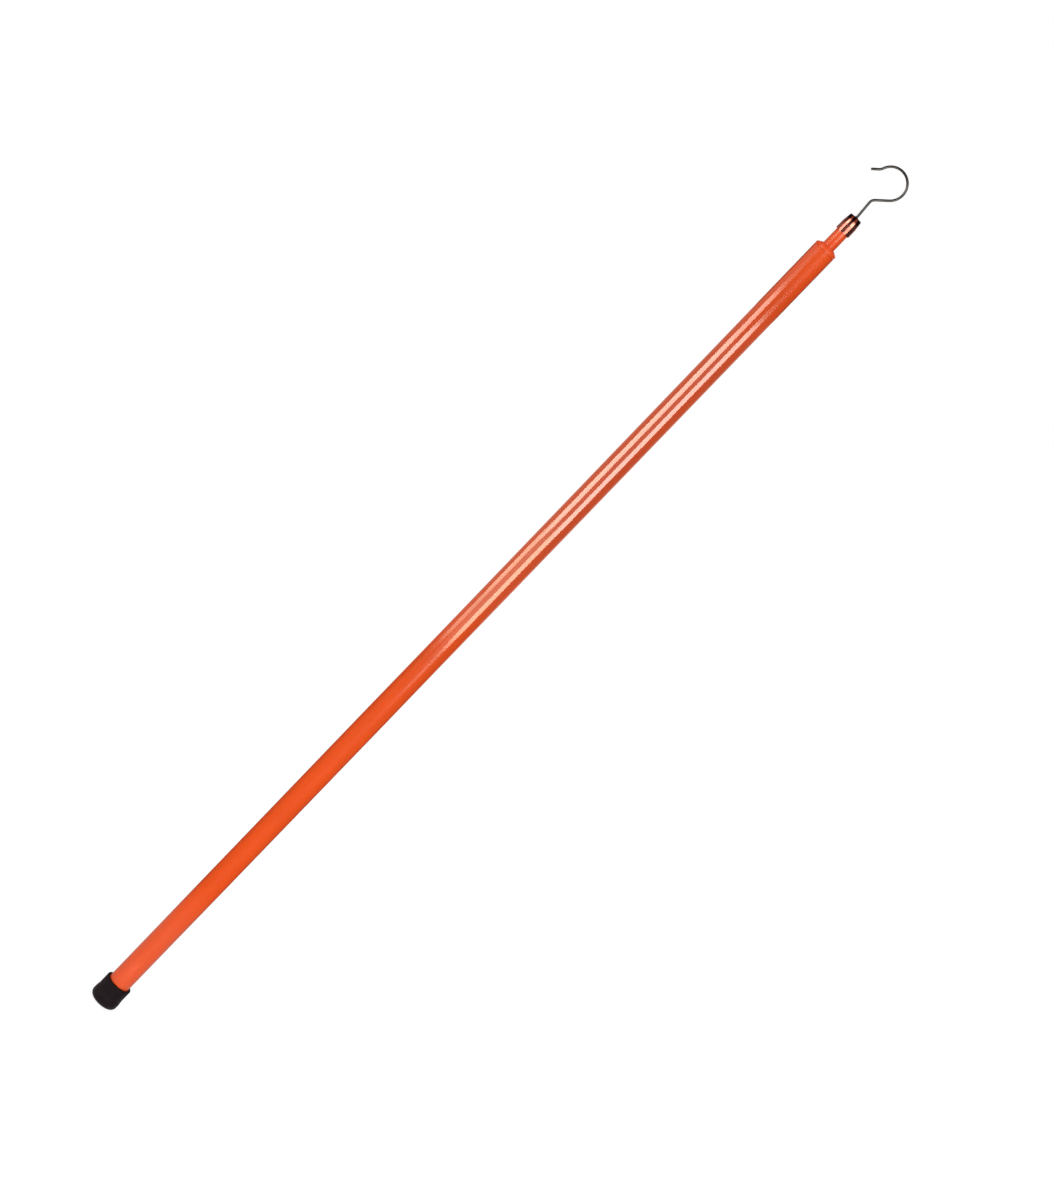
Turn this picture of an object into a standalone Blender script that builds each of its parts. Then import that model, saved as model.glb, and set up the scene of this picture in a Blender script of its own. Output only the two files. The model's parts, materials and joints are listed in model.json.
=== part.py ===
"""Telescopic measuring pole with a line hook.

Metres, +Z up. The pole stands closed on its rubber foot, with the origin in the middle of the
sole and +Z along the pole. Round glass-fibre tubes nest in one another. Each inner tube rides
on a slider plug, and a spring button in that plug snaps into a hole of the tube outside it when
the section is drawn out. The innermost tube carries the ferrule and the hook.
"""

import math

import bmesh
import bpy

POLE = "telescopic_measuring_pole"
CUTTERS = "cutters"

# Pieces that seat on each other keep this much air between them
SEAT_GAP = 0.0003

# Facets
TURN_STEPS = 32
SMALL_TURN_STEPS = 16
SHARP_ANGLE = math.radians(32.0)

# Tubes
SECTION_COUNT = 5
BASE_TUBE_DIAMETER = 0.0380
BASE_TUBE_LENGTH = 1.6670
TUBE_WALL = 0.00125
TUBE_CLEARANCE = 0.0009
MOUTH_STEP = 0.0013
TIP_TUBE_SHOW = 0.0330

# Rings bonded on the tube mouths
RING_HEIGHT = 0.0050
RING_CLEARANCE = 0.0003
RING_EDGE = 0.0008
RING_LEAD_IN = 0.0004

# Rubber foot
FOOT_HEIGHT = 0.0435
FOOT_FLOOR = 0.0060
FOOT_WALL = 0.0044
FOOT_FLARE = 0.0010
FOOT_BEAD_HEIGHT = 0.0150
FOOT_BEAD_BLEND = 0.0060
FOOT_EDGE = 0.0075
FOOT_RIM_EDGE = 0.0012
SOLE_PAD_RADIUS = 0.0100
SOLE_GROOVE_WIDTH = 0.0030
SOLE_GROOVE_DEPTH = 0.0012

# Plug and bumper in the bottom of the base tube
BASE_PLUG_HEIGHT = 0.0300
BASE_PLUG_WALL = 0.0040
BUMPER_HEIGHT = 0.0060
BUMPER_CLEARANCE = 0.0008
BUMPER_BORE_RADIUS = 0.0040

# Slider plugs
SHOE_HEIGHT = 0.0080
SHOE_CLEARANCE = 0.0002
SPIGOT_HEIGHT = 0.0260
PLUG_CHAMFER = 0.0008
PLUG_VENT_RADIUS = 0.0020
PLUG_RECESS_RADIUS = 0.0050
PLUG_RECESS_DEPTH = 0.0050

# Lock buttons, in the slider plugs
BUTTON_HEIGHT = 0.0130
BUTTON_NOSE_RADIUS = 0.0035
BUTTON_DOME_RADIUS = 0.0060
BUTTON_POP = 0.0026
BUTTON_SHOULDER_LEDGE = 0.0010
BUTTON_SHOULDER_THICKNESS = 0.0016
BUTTON_PIP_RADIUS = 0.0020
BUTTON_PIP_LENGTH = 0.0015
BUTTON_HOLE_CLEARANCE = 0.0003
BUTTON_POCKET_CLEARANCE = 0.0002
LOCK_HOLE_DROP = 0.1500

# Button springs
SPRING_LENGTH = 0.0095
SPRING_WIRE_DIAMETER = 0.0007
SPRING_SEAT_CLEARANCE = 0.0006
SPRING_TURNS = 5
SPRING_TURN_POINTS = 8
SPRING_END_PITCH = 1.25

# Plug, ferrule and fixings at the tip
TIP_PLUG_LENGTH = 0.0360
FERRULE_LENGTH = 0.0313
FERRULE_INSERT = 0.0190
FERRULE_WALL = 0.0017
FERRULE_TAPER_LENGTH = 0.0150
FERRULE_TOP_RADIUS = 0.0104
FERRULE_EDGE = 0.0014
FERRULE_FOOT_EDGE = 0.0004
FERRULE_BOSS_RADIUS = 0.0038
FERRULE_BOSS_HEIGHT = 0.0008
WASHER_RADIUS = 0.0050
WASHER_THICKNESS = 0.0008
NUT_FLATS = 0.0070
NUT_HEIGHT = 0.0032
NUT_BORE_POINTS = 16
THREAD_END = 0.0020

# Hook, bent from one wire in the XZ plane with its mouth towards -X
HOOK_WIRE_DIAMETER = 0.0040
HOOK_NECK = 0.0040
HOOK_LEAN = 4.0
HOOK_LEAN_BEND_RADIUS = 0.0200
HOOK_SHANK_RUN = 0.0234
HOOK_LEG_TURN = 53.0
HOOK_LEG_BEND_RADIUS = 0.0100
HOOK_BOWL_RADIUS = 0.0254
HOOK_BOWL_OFFSET = 0.0015
HOOK_BOWL_SWEEP = 208.0
HOOK_TIP_TURN = 29.0
HOOK_TIP_BEND_RADIUS = 0.0140
HOOK_TIP_LENGTH = 0.0120
HOOK_BEND_STEP = 9.0


# Where things are, worked out from the sizes above


def tube_radius(index):
    """Outer radius of a tube, counted from 0 at the base."""
    return BASE_TUBE_DIAMETER / 2 - index * (TUBE_WALL + TUBE_CLEARANCE)


def tube_bore(index):
    """Inner radius of a tube."""
    return tube_radius(index) - TUBE_WALL


def base_tube_bottom():
    """The base tube stands on the floor of the rubber foot."""
    return FOOT_FLOOR + SEAT_GAP


def plug_height():
    """A slider plug from its sole to the top of its spigot."""
    return SHOE_HEIGHT + SEAT_GAP + SPIGOT_HEIGHT


def section_bottom(index):
    """Sole of a slider plug: the first stands on the bumper, the others on the plug below."""
    bumper_top = base_tube_bottom() + BASE_PLUG_HEIGHT + SEAT_GAP + BUMPER_HEIGHT
    return bumper_top + SEAT_GAP + (index - 1) * (plug_height() + SEAT_GAP)


def tube_bottom(index):
    """Lower end of a tube, on the rubber floor or on the shoe of its plug."""
    if index == 0:
        return base_tube_bottom()
    return section_bottom(index) + SHOE_HEIGHT + SEAT_GAP


def mouth_height(index):
    """Top of the ring on a tube's mouth."""
    base_mouth = base_tube_bottom() + BASE_TUBE_LENGTH + SEAT_GAP + RING_HEIGHT
    return base_mouth + index * MOUTH_STEP


def tube_top(index):
    """Upper end of a tube: the innermost one reaches up into the ferrule."""
    if index == SECTION_COUNT - 1:
        return ferrule_bottom() + FERRULE_INSERT
    return mouth_height(index) - RING_HEIGHT - SEAT_GAP


def ferrule_bottom():
    return mouth_height(0) + TIP_TUBE_SHOW


def ferrule_top():
    return ferrule_bottom() + FERRULE_LENGTH


def tip_plug_bottom():
    return tube_top(SECTION_COUNT - 1) - TIP_PLUG_LENGTH


def nut_bottom():
    return tip_plug_bottom() - SEAT_GAP - WASHER_THICKNESS - SEAT_GAP - NUT_HEIGHT


def shank_hole_radius():
    """Hole for the hook's shank through the ferrule, the tip plug, the washer and the nut."""
    return HOOK_WIRE_DIAMETER / 2 + SEAT_GAP


def button_height(index):
    """Height of a lock button with the pole closed."""
    return tube_bottom(index) + BUTTON_HEIGHT


def lock_hole_height(index):
    """Height of the hole in a tube that takes the next section's button."""
    return tube_top(index) - LOCK_HOLE_DROP


def section_travel(index):
    """How far a section slides out before its button meets the lock hole."""
    return lock_hole_height(index - 1) - button_height(index)


def button_shoulder_face(index):
    """Distance from the pole's axis to the outer face of a button's shoulder, button pressed in."""
    return tube_bore(index) - SEAT_GAP - BUTTON_POP


def button_nose_length():
    """The pressed nose ends a seat gap short of the bore that the section slides in."""
    return TUBE_WALL + TUBE_CLEARANCE + BUTTON_POP


def pocket_bottom(index):
    """Distance from the axis, along +Y, to the bottom of a button's pocket."""
    spring_room = SEAT_GAP + SPRING_LENGTH + SEAT_GAP
    return button_shoulder_face(index) - BUTTON_SHOULDER_THICKNESS - spring_room


# Scene and materials


def clear_scene():
    for old in list(bpy.data.objects):
        bpy.data.objects.remove(old, do_unlink=True)


def add_collection(name):
    collection = bpy.data.collections.new(name)
    bpy.context.scene.collection.children.link(collection)


def finish(name, colour, roughness, metallic=0.0):
    """A Principled material with one colour."""
    material = bpy.data.materials.new(name)
    material.use_nodes = True
    shader = material.node_tree.nodes["Principled BSDF"]
    shader.inputs["Base Color"].default_value = (*colour, 1.0)
    shader.inputs["Roughness"].default_value = roughness
    shader.inputs["Metallic"].default_value = metallic
    return material


def orange_glass_fibre(name):
    return finish(name, (0.80, 0.11, 0.02), 0.28)


def black_rubber(name):
    return finish(name, (0.013, 0.010, 0.011), 0.62)


def white_nylon(name):
    return finish(name, (0.72, 0.70, 0.64), 0.45)


def copper_alloy(name):
    return finish(name, (0.75, 0.36, 0.22), 0.15, 1.0)


def brass(name):
    return finish(name, (0.72, 0.53, 0.22), 0.30, 1.0)


def bright_steel(name):
    return finish(name, (0.47, 0.47, 0.48), 0.20, 1.0)


# Making and placing pieces


def place(piece, collection, parent, location):
    bpy.data.collections[collection].objects.link(piece)
    piece.parent = parent
    piece.location = location


def section_empty(index):
    """Parent of all that slides with a section, on the pole's axis at the plug's sole."""
    empty = bpy.data.objects.new(f"section_{index + 1}_slide", None)
    empty.empty_display_size = tube_radius(index)
    place(empty, POLE, None, (0.0, 0.0, section_bottom(index)))
    return empty


def arc(centre_r, centre_z, radius, start, end, steps):
    """Points of an arc in a profile, by angles in degrees from the outward direction."""
    points = []
    for step in range(steps + 1):
        angle = math.radians(start + (end - start) * step / steps)
        points.append((centre_r + radius * math.cos(angle), centre_z + radius * math.sin(angle)))
    return points


def turned(name, profile, material, steps=TURN_STEPS):
    """A piece turned about its own Z axis. The profile runs down the outer side."""
    on_axis = profile[0][0] == 0.0
    last = len(profile) - 1
    edges = [(point, point + 1) for point in range(last)]
    if not on_axis:
        edges.append((last, 0))
    mesh = bpy.data.meshes.new(name)
    mesh.from_pydata([(radius, 0.0, height) for radius, height in profile], edges, [])
    piece = bpy.data.objects.new(name, mesh)
    piece.data.materials.append(material)
    screw = piece.modifiers.new("turn", "SCREW")
    screw.steps = steps
    screw.render_steps = steps
    screw.use_merge_vertices = True
    screw.merge_threshold = 0.00001
    return piece


def settle(piece):
    """Keep what the turning made as the piece's mesh, smooth between its hard edges."""
    bpy.context.view_layer.update()
    evaluated = piece.evaluated_get(bpy.context.evaluated_depsgraph_get())
    mesh = bpy.data.meshes.new_from_object(evaluated)
    mesh.name = piece.name
    mesh.shade_smooth()
    mesh.set_sharp_from_angle(angle=SHARP_ANGLE)
    piece.modifiers.clear()
    piece.data = mesh


def add_turned(name, profile, material, parent=None, height=0.0, steps=TURN_STEPS):
    piece = turned(name, profile, material, steps)
    place(piece, POLE, parent, (0.0, 0.0, height))
    settle(piece)
    return piece


def radial_drill(name, radius, near, far, parent, height):
    """A cutter along +Y, from near to far of the pole's axis."""
    form = bmesh.new()
    bmesh.ops.create_cone(
        form, cap_ends=True, segments=SMALL_TURN_STEPS, radius1=radius, radius2=radius, depth=far - near
    )
    mesh = bpy.data.meshes.new(name)
    form.to_mesh(mesh)
    form.free()
    drill = bpy.data.objects.new(name, mesh)
    drill.hide_render = True
    drill.display_type = "WIRE"
    drill.rotation_euler.x = -math.pi / 2
    place(drill, CUTTERS, parent, (0.0, (near + far) / 2, height))
    return drill


def cut(piece, cutter):
    boolean = piece.modifiers.new("cut_" + cutter.name, "BOOLEAN")
    boolean.operation = "DIFFERENCE"
    boolean.solver = "EXACT"
    boolean.object = cutter


def wire(name, points, diameter, material, bevel_resolution):
    """A round wire along the points, with closed ends."""
    curve = bpy.data.curves.new(name, "CURVE")
    curve.dimensions = "3D"
    curve.bevel_depth = diameter / 2
    curve.bevel_resolution = bevel_resolution
    curve.use_fill_caps = True
    spline = curve.splines.new("POLY")
    spline.points.add(len(points) - 1)
    for target, point in zip(spline.points, points):
        target.co = (*point, 1.0)
    curve.materials.append(material)
    return bpy.data.objects.new(name, curve)


# The foot and the base tube


def add_rubber_foot_cap():
    """A moulded cup with a bead round its base and a grooved sole."""
    bore = tube_radius(0) + SEAT_GAP
    rim = bore + FOOT_WALL
    base = rim + FOOT_FLARE
    groove = SOLE_PAD_RADIUS + SOLE_GROOVE_WIDTH
    profile = [
        (0.0, FOOT_FLOOR),
        (bore, FOOT_FLOOR),
        (bore, FOOT_HEIGHT),
        *arc(rim - FOOT_RIM_EDGE, FOOT_HEIGHT - FOOT_RIM_EDGE, FOOT_RIM_EDGE, 90, 0, 3),
        (rim, FOOT_BEAD_HEIGHT + FOOT_BEAD_BLEND),
        (base, FOOT_BEAD_HEIGHT),
        *arc(base - FOOT_EDGE, FOOT_EDGE, FOOT_EDGE, 0, -90, 5),
        (groove, 0.0),
        (groove, SOLE_GROOVE_DEPTH),
        (SOLE_PAD_RADIUS, SOLE_GROOVE_DEPTH),
        (SOLE_PAD_RADIUS, 0.0),
        (0.0, 0.0),
    ]
    add_turned("rubber_foot_cap", profile, black_rubber("foot_rubber"))


def add_base_plug():
    """A cup moulded open downwards, which closes the base tube above the foot."""
    outer = tube_bore(0) - SEAT_GAP
    inner = outer - BASE_PLUG_WALL
    roof = BASE_PLUG_HEIGHT - BASE_PLUG_WALL
    profile = [
        (0.0, BASE_PLUG_HEIGHT),
        (outer - PLUG_CHAMFER, BASE_PLUG_HEIGHT),
        (outer, BASE_PLUG_HEIGHT - PLUG_CHAMFER),
        (outer, 0.0),
        (inner, 0.0),
        (inner, roof),
        (0.0, roof),
    ]
    add_turned("base_plug", profile, white_nylon("base_plug_nylon"), height=base_tube_bottom())


def add_base_bumper():
    """The rubber disc on which the sections land when the pole is closed."""
    outer = tube_bore(0) - BUMPER_CLEARANCE
    profile = [
        (outer, BUMPER_HEIGHT),
        (outer, 0.0),
        (BUMPER_BORE_RADIUS, 0.0),
        (BUMPER_BORE_RADIUS, BUMPER_HEIGHT),
    ]
    height = base_tube_bottom() + BASE_PLUG_HEIGHT + SEAT_GAP
    add_turned("base_bumper", profile, black_rubber("bumper_rubber"), height=height)


def section_name(index):
    return "base" if index == 0 else f"section_{index + 1}"


def add_tube(index, parent):
    """A drawn tube with a button hole low down and a lock hole below its mouth."""
    name = section_name(index)
    bottom = 0.0 if parent is None else section_bottom(index)
    length = tube_top(index) - tube_bottom(index)
    radius = tube_radius(index)
    bore = tube_bore(index)
    profile = [(radius, length), (radius, 0.0), (bore, 0.0), (bore, length)]
    material = orange_glass_fibre(name + "_glass_fibre")
    tube = add_turned(name + "_tube", profile, material, parent, tube_bottom(index) - bottom)
    hole = BUTTON_NOSE_RADIUS + BUTTON_HOLE_CLEARANCE
    near = bore / 2
    far = radius + TUBE_WALL
    if index > 0:
        height = button_height(index) - bottom
        cut(tube, radial_drill(name + "_button_hole", hole, near, far, parent, height))
    if index < SECTION_COUNT - 1:
        height = lock_hole_height(index) - bottom
        cut(tube, radial_drill(name + "_lock_hole", hole, near, far, parent, height))


def add_mouth_ring(index, parent):
    """The bonded ring that guides the next tube and stops its shoe from leaving the bore."""
    bottom = 0.0 if parent is None else section_bottom(index)
    outer = tube_radius(index)
    inner = tube_radius(index + 1) + RING_CLEARANCE
    profile = [
        *arc(outer - RING_EDGE, RING_HEIGHT - RING_EDGE, RING_EDGE, 90, 0, 3),
        (outer, 0.0),
        (inner, 0.0),
        (inner, RING_HEIGHT - RING_LEAD_IN),
        (inner + RING_LEAD_IN, RING_HEIGHT),
    ]
    name = section_name(index)
    material = orange_glass_fibre(name + "_ring_orange")
    height = mouth_height(index) - RING_HEIGHT - bottom
    add_turned(name + "_mouth_ring", profile, material, parent, height)


# What slides with a section


def add_slider_plug(index, parent):
    """A shoe that runs in the bore outside, a spigot in the tube, and a pocket for the button."""
    shoe = tube_bore(index - 1) - SHOE_CLEARANCE
    spigot = tube_bore(index) - SEAT_GAP
    top = plug_height()
    profile = [
        (spigot - PLUG_CHAMFER, top),
        (spigot, top - PLUG_CHAMFER),
        (spigot, SHOE_HEIGHT),
        (shoe, SHOE_HEIGHT),
        (shoe, PLUG_CHAMFER),
        (shoe - PLUG_CHAMFER, 0.0),
        (PLUG_RECESS_RADIUS, 0.0),
        (PLUG_RECESS_RADIUS, PLUG_RECESS_DEPTH),
        (PLUG_VENT_RADIUS, PLUG_RECESS_DEPTH),
        (PLUG_VENT_RADIUS, top),
    ]
    name = section_name(index)
    plug = add_turned(name + "_slider_plug", profile, white_nylon(name + "_nylon"), parent)
    radius = BUTTON_NOSE_RADIUS + BUTTON_SHOULDER_LEDGE + BUTTON_POCKET_CLEARANCE
    far = spigot + TUBE_WALL
    height = button_height(index) - section_bottom(index)
    cut(plug, radial_drill(name + "_button_pocket", radius, pocket_bottom(index), far, parent, height))


def add_lock_button(index, parent):
    """A button turned about +Y: domed nose, shoulder behind the tube wall, pip in the spring."""
    nose = button_nose_length()
    dome_end = math.degrees(math.acos(BUTTON_NOSE_RADIUS / BUTTON_DOME_RADIUS))
    back = -BUTTON_SHOULDER_THICKNESS
    shoulder = BUTTON_NOSE_RADIUS + BUTTON_SHOULDER_LEDGE
    profile = [
        (0.0, nose),
        *arc(0.0, nose - BUTTON_DOME_RADIUS, BUTTON_DOME_RADIUS, 90, dome_end, 3)[1:],
        (BUTTON_NOSE_RADIUS, 0.0),
        (shoulder, 0.0),
        (shoulder, back),
        (BUTTON_PIP_RADIUS, back),
        (BUTTON_PIP_RADIUS, back - BUTTON_PIP_LENGTH),
        (0.0, back - BUTTON_PIP_LENGTH),
    ]
    name = section_name(index)
    button = add_turned(
        name + "_lock_button", profile, brass(name + "_button_brass"), parent, steps=SMALL_TURN_STEPS
    )
    button.rotation_euler.x = -math.pi / 2
    button.location = (0.0, button_shoulder_face(index), button_height(index) - section_bottom(index))


def spring_points():
    """Centreline of a compression spring with a closed turn at each end, from 0 to its length."""
    radius = BUTTON_PIP_RADIUS + SPRING_SEAT_CLEARANCE + SPRING_WIRE_DIAMETER / 2
    closed = SPRING_END_PITCH * SPRING_WIRE_DIAMETER
    rise = SPRING_LENGTH - SPRING_WIRE_DIAMETER
    open_pitch = (rise - 2 * closed) / (SPRING_TURNS - 2)
    points = []
    for step in range(SPRING_TURNS * SPRING_TURN_POINTS + 1):
        turn = step / SPRING_TURN_POINTS
        low_turns = min(turn, 1.0)
        open_turns = min(max(turn - 1.0, 0.0), SPRING_TURNS - 2.0)
        high_turns = max(turn - (SPRING_TURNS - 1.0), 0.0)
        height = SPRING_WIRE_DIAMETER / 2 + closed * (low_turns + high_turns) + open_pitch * open_turns
        angle = 2 * math.pi * turn
        points.append((radius * math.cos(angle), radius * math.sin(angle), height))
    return points


def add_button_spring(index, parent):
    name = section_name(index) + "_button_spring"
    spring = wire(name, spring_points(), SPRING_WIRE_DIAMETER, bright_steel(name + "_steel"), 2)
    place(spring, POLE, parent, (0.0, 0.0, 0.0))
    spring.rotation_euler.x = -math.pi / 2
    height = button_height(index) - section_bottom(index)
    spring.location = (0.0, pocket_bottom(index) + SEAT_GAP, height)


# The tip


def add_tip_plug(parent, bottom):
    """The plug in the innermost tube that the hook's shank is bolted through."""
    outer = tube_bore(SECTION_COUNT - 1) - SEAT_GAP
    inner = shank_hole_radius()
    profile = [
        (outer, TIP_PLUG_LENGTH),
        (outer, PLUG_CHAMFER),
        (outer - PLUG_CHAMFER, 0.0),
        (inner, 0.0),
        (inner, TIP_PLUG_LENGTH),
    ]
    add_turned("tip_plug", profile, white_nylon("tip_plug_nylon"), parent, tip_plug_bottom() - bottom)


def add_tip_ferrule(parent, bottom):
    """A turned cap: a sleeve over the tube, a tapered nose and a low boss round the shank."""
    bore = tube_radius(SECTION_COUNT - 1) + SEAT_GAP
    outer = bore + FERRULE_WALL
    hole = shank_hole_radius()
    top = FERRULE_LENGTH - FERRULE_BOSS_HEIGHT
    seat = FERRULE_INSERT + SEAT_GAP
    profile = [
        (hole, FERRULE_LENGTH),
        (FERRULE_BOSS_RADIUS, FERRULE_LENGTH),
        (FERRULE_BOSS_RADIUS, top),
        *arc(FERRULE_TOP_RADIUS - FERRULE_EDGE, top - FERRULE_EDGE, FERRULE_EDGE, 90, 0, 4),
        (outer, top - FERRULE_TAPER_LENGTH),
        (outer, FERRULE_FOOT_EDGE),
        (outer - FERRULE_FOOT_EDGE, 0.0),
        (bore, 0.0),
        (bore, seat),
        (hole, seat),
    ]
    height = ferrule_bottom() - bottom
    add_turned("tip_ferrule", profile, copper_alloy("ferrule_copper"), parent, height)


def add_hook_washer(parent, bottom):
    hole = shank_hole_radius()
    profile = [
        (WASHER_RADIUS, WASHER_THICKNESS),
        (WASHER_RADIUS, 0.0),
        (hole, 0.0),
        (hole, WASHER_THICKNESS),
    ]
    height = tip_plug_bottom() - SEAT_GAP - WASHER_THICKNESS - bottom
    add_turned("hook_washer", profile, bright_steel("washer_steel"), parent, height, SMALL_TURN_STEPS)


def ring_of_points(radius, count):
    """Corners of a regular polygon round the axis."""
    return [
        (radius * math.cos(2 * math.pi * corner / count), radius * math.sin(2 * math.pi * corner / count))
        for corner in range(count)
    ]


def add_hook_nut(parent, bottom):
    """A hexagon outline with its hole, extruded to the nut's height."""
    curve = bpy.data.curves.new("hook_nut", "CURVE")
    curve.dimensions = "2D"
    curve.fill_mode = "BOTH"
    curve.extrude = NUT_HEIGHT / 2
    corner_radius = NUT_FLATS / math.sqrt(3.0)
    for outline in (ring_of_points(corner_radius, 6), ring_of_points(shank_hole_radius(), NUT_BORE_POINTS)):
        spline = curve.splines.new("POLY")
        spline.points.add(len(outline) - 1)
        for target, (x, y) in zip(spline.points, outline):
            target.co = (x, y, 0.0, 1.0)
        spline.use_cyclic_u = True
    curve.materials.append(bright_steel("nut_steel"))
    nut = bpy.data.objects.new("hook_nut", curve)
    place(nut, POLE, parent, (0.0, 0.0, nut_bottom() + NUT_HEIGHT / 2 - bottom))


def run_on(points, heading, length):
    """Carry a wire straight on."""
    x, z = points[-1]
    points.append((x + length * math.cos(heading), z + length * math.sin(heading)))
    return heading


def bend_on(points, heading, radius, degrees):
    """Bend a wire on, to the left for positive degrees, and give its new heading."""
    steps = max(2, math.ceil(abs(degrees) / HOOK_BEND_STEP))
    turn = math.radians(degrees) / steps
    chord = 2 * radius * math.sin(abs(turn) / 2)
    for _ in range(steps):
        run_on(points, heading + turn / 2, chord)
        heading += turn
    return heading


def hook_route(start):
    """The hook as a wire bender makes it: shank, leg, bowl, and the turned-out tip."""
    points = [(0.0, start)]
    heading = run_on(points, math.pi / 2, ferrule_top() + HOOK_NECK - start)
    heading = bend_on(points, heading, HOOK_LEAN_BEND_RADIUS, HOOK_LEAN)
    heading = run_on(points, heading, HOOK_SHANK_RUN)
    heading = bend_on(points, heading, HOOK_LEG_BEND_RADIUS, -HOOK_LEG_TURN)
    leg_end = HOOK_BOWL_OFFSET + HOOK_BOWL_RADIUS * math.sin(heading)
    heading = run_on(points, heading, (leg_end - points[-1][0]) / math.cos(heading))
    heading = bend_on(points, heading, HOOK_BOWL_RADIUS, HOOK_BOWL_SWEEP)
    heading = bend_on(points, heading, HOOK_TIP_BEND_RADIUS, -HOOK_TIP_TURN)
    run_on(points, heading, HOOK_TIP_LENGTH)
    return points


def add_line_hook(parent, bottom):
    start = nut_bottom() - THREAD_END
    points = [(x, 0.0, z - start) for x, z in hook_route(start)]
    hook = wire("line_hook", points, HOOK_WIRE_DIAMETER, bright_steel("hook_steel"), 3)
    place(hook, POLE, parent, (0.0, 0.0, start - bottom))


# The whole pole


def add_base():
    add_rubber_foot_cap()
    add_base_plug()
    add_base_bumper()
    add_tube(0, None)
    add_mouth_ring(0, None)


def add_section(index):
    parent = section_empty(index)
    add_tube(index, parent)
    add_slider_plug(index, parent)
    add_lock_button(index, parent)
    add_button_spring(index, parent)
    if index < SECTION_COUNT - 1:
        add_mouth_ring(index, parent)
    return parent


def add_tip(parent):
    bottom = section_bottom(SECTION_COUNT - 1)
    add_tip_plug(parent, bottom)
    add_tip_ferrule(parent, bottom)
    add_hook_washer(parent, bottom)
    add_hook_nut(parent, bottom)
    add_line_hook(parent, bottom)


def main():
    clear_scene()
    add_collection(POLE)
    add_collection(CUTTERS)
    add_base()
    for index in range(1, SECTION_COUNT):
        parent = add_section(index)
    add_tip(parent)
    bpy.context.view_layer.update()


main()
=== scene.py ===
"""The finish of a telescopic measuring pole, made around its fixed frame.

Metres, with +Z up the pole from its sole to its hook. The pole opens like a spyglass: each tube
slides out of the one outside it. Every operator below makes one kind of piece, or the studio.
"""

import json
import math

import bmesh
import bpy
from bpy.props import FloatProperty, FloatVectorProperty, IntProperty, PointerProperty
from mathutils import Matrix, Vector


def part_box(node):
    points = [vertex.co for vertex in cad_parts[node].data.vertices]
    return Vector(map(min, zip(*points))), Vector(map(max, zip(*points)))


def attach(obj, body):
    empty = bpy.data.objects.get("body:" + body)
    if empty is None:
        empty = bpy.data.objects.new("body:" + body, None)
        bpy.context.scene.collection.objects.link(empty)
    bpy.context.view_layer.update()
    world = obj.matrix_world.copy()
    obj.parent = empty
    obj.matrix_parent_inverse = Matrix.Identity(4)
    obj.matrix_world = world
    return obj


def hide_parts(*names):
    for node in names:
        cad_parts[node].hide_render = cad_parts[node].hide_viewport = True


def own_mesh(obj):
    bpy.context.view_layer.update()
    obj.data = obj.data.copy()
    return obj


bl_info = {
    "name": "Telescopic Measuring Pole",
    "version": (1, 0, 0),
    "blender": (4, 5, 0),
    "location": "3D View > Sidebar > Pole",
    "description": "Makes the finished pieces of a telescopic measuring pole and its studio",
    "category": "Object",
}

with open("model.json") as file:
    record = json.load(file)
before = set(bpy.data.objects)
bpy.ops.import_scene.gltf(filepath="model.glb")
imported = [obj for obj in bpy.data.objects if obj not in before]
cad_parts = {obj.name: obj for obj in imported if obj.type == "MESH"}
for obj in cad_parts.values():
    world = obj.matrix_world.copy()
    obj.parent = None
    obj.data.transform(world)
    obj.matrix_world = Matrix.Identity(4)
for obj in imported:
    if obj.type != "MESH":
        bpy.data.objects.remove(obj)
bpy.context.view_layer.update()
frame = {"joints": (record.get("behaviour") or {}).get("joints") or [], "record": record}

SECTION_COUNT = 5
AXIS = Vector((0.0, 0.0, 1.0))
ORIGIN = Vector((0.0, 0.0, 0.0))
MERGE_DISTANCE = 0.000002
SHARP_ANGLE = math.radians(38.0)
FULL_TURN = 2 * math.pi
SMALL_TURN_STEPS = 48
DRILL_STEPS = 40
WASHER_STEPS = 64
DOME_STEPS = 6
WIRE_DOME_SLOPE = math.radians(80.0)  # where a wire's rounded end is closed flat
SPRING_SIDES = 10
SPRING_STEP = math.radians(15.0)
CLOSED_TURN = 1.25  # rise of a spring's closed turn, in wire thicknesses
LINE_STEP_DEGREES = 7.5
FIGURE_SHARE = 0.7  # of the font's size that a figure is high
FIGURE_STRIPS = 6  # cut in a width equal to the figure's height
NOSE_SHADE_DEPTHS = (0.0112, 0.0070)  # below the ferrule's top: where the painted shade on the nose starts, and where it is full
KEY_BEARINGS = (-22.0, 30.0)  # in degrees
FLOOR_DROP = 0.0002  # keeps the floor clear of the sole
TENT_HEM = 0.001  # height at which the tent's wall starts
TENT_GROUND = (0.45, 0.75)  # from the foot: where its floor starts to brown, and where it is brown
TENT_LEFT = 0.82  # share of its radius beyond which its left is pale
TENT_REAR = 0.60  # the same for its rear


# What the frame says


def section_name(index):
    """The sections are counted from 0 at the base."""
    return "base" if index == 0 else f"section_{index + 1}"


def cylinder_of(node):
    """Outer radius, bottom and top of a round node."""
    low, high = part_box(node)
    return (high[0] - low[0]) / 2, low[2], high[2]


def radius_of(node):
    return cylinder_of(node)[0]


def bottom_of(node):
    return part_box(node)[0][2]


def top_of(node):
    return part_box(node)[1][2]


def button_height(index):
    """Height of a section's lock button with the pole closed."""
    button = f"{section_name(index)}_lock_button"
    return (bottom_of(button) + top_of(button)) / 2


def joint_of(body):
    """The joint that a body slides in."""
    return {joint["child"]: joint for joint in frame["joints"]}[body]


def travel_of(index):
    """How far a section slides out of the one outside it."""
    return joint_of(section_name(index))["range_m"][1]


def lock_hole_height(index):
    """Height of the hole that catches the next section's button at the end of its travel."""
    return button_height(index + 1) + travel_of(index + 1)


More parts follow.
